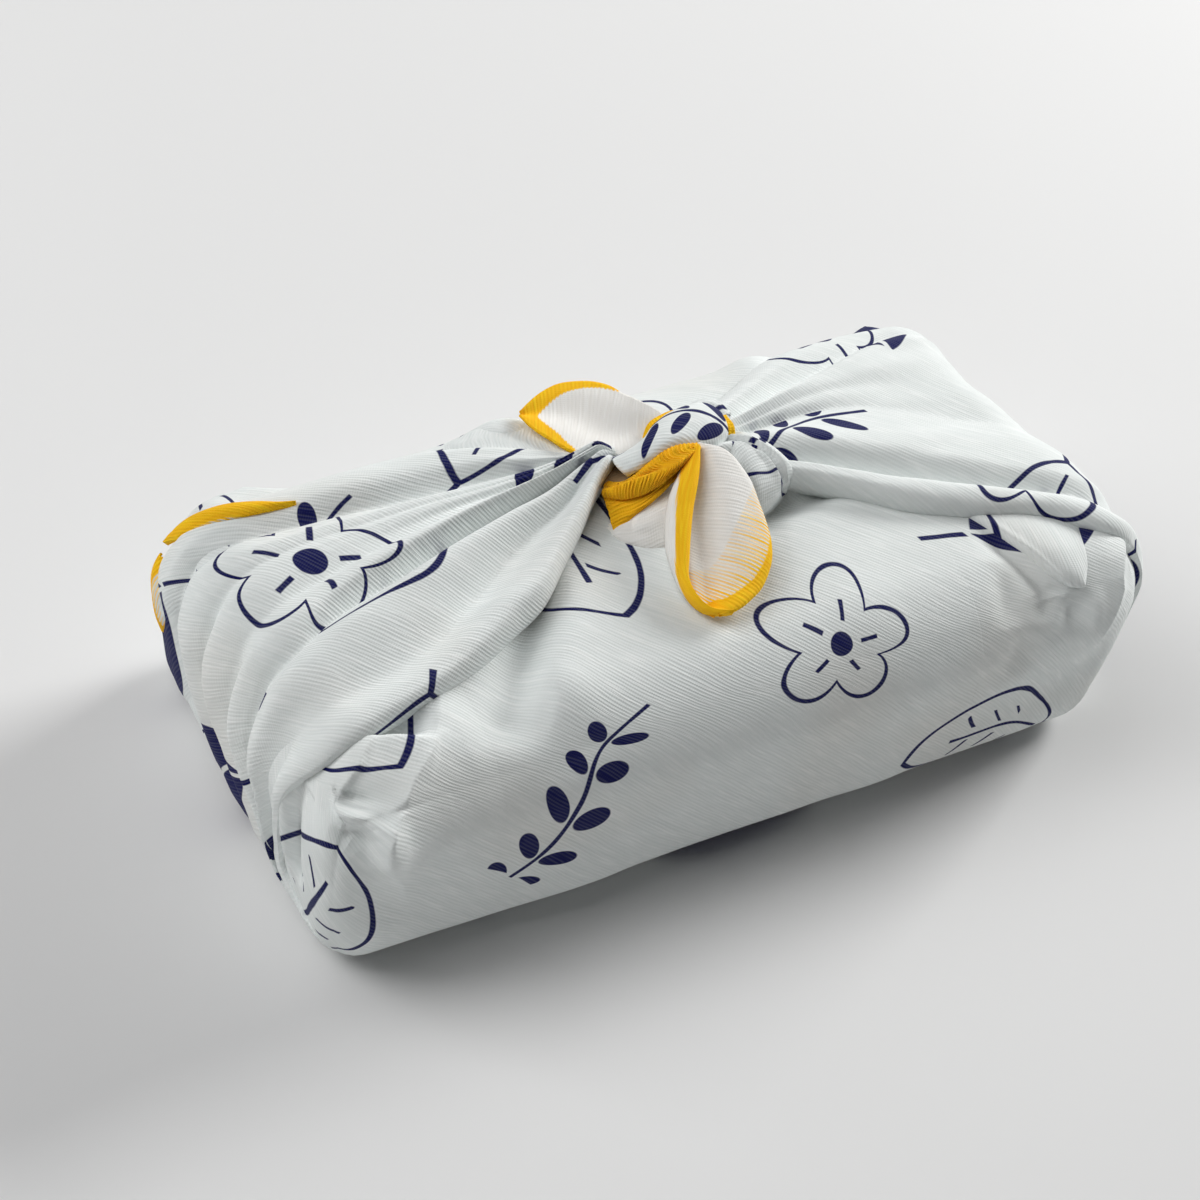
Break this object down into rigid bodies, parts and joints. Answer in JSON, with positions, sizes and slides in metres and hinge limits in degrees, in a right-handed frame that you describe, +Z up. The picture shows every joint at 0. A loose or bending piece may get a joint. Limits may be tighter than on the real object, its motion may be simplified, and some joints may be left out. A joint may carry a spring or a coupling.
{
  "type": "furoshiki wrap",
  "caption": "Square cotton wrapping cloth folded round a slim box-shaped bundle, its corners gathered over the top and tied in a knot with free ends.",
  "frame": {"origin": "middle of the flat underside, on the surface that the bundle rests on", "axes": "+X along the bundle's length, front face towards -Y, +Z up out of the knot"},
  "size_m": [0.1918, 0.0949, 0.07],
  "materials": {
    "printed_cotton": "matte slub cotton, printed in navy with a yellow hem"
  },
  "bodies": {
    "root": {"furoshiki_cloth": "printed_cotton"}
  },
  "joints": []
}
